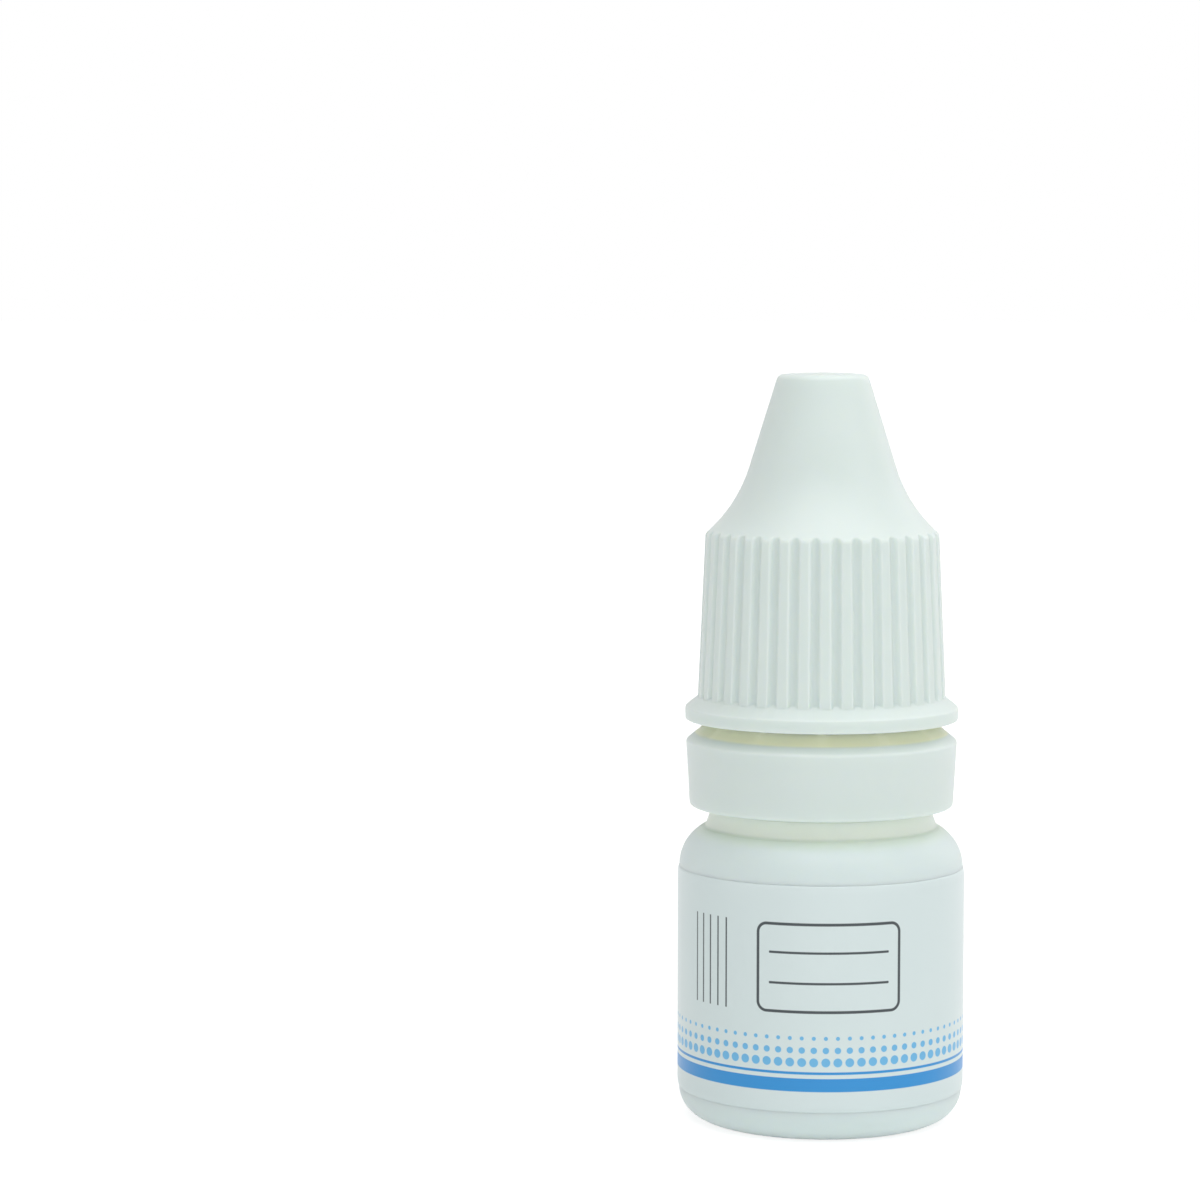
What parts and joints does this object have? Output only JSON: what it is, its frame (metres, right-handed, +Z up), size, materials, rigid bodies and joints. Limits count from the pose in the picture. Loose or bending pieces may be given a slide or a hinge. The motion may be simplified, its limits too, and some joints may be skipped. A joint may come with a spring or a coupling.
{
  "type": "eye drop bottle",
  "caption": "Small round squeeze bottle with a plug-in dropper nozzle, a tamper ring, a wrap label and a conical fluted screw cap that turns and lifts off.",
  "frame": {"origin": "centre of the standing ring, on the plane that the bottle stands on", "axes": "+Z up along the bottle's axis, on which the cap turns and lifts; -Y is the front of the label, +Y is its seam"},
  "size_m": [0.022, 0.0219, 0.0573],
  "materials": {
    "squeeze_plastic": "satin white low-density polyethylene, blow moulded",
    "nozzle_plastic": "satin natural white low-density polyethylene, injection moulded",
    "cap_plastic": "semi-gloss white high-density polyethylene, injection moulded",
    "label_film": "semi-gloss white polypropylene film"
  },
  "bodies": {
    "bottle": {"bottle_body": "squeeze_plastic", "dropper_nozzle": "nozzle_plastic", "wrap_label": "label_film"},
    "ring": {"tamper_ring": "cap_plastic"},
    "cap": {"screw_cap": "cap_plastic"}
  },
  "joints": [
    {"name": "cap_turn", "type": "hinge", "parent": "bottle", "child": "ring", "pos_m": [0, 0, 0.0242], "axis": [0, 0, 1], "range_deg": [0, 540]},
    {"name": "cap_lift", "type": "slide", "parent": "ring", "child": "cap", "axis": [0, 0, 1], "range_m": [0, 0.026]}
  ]
}
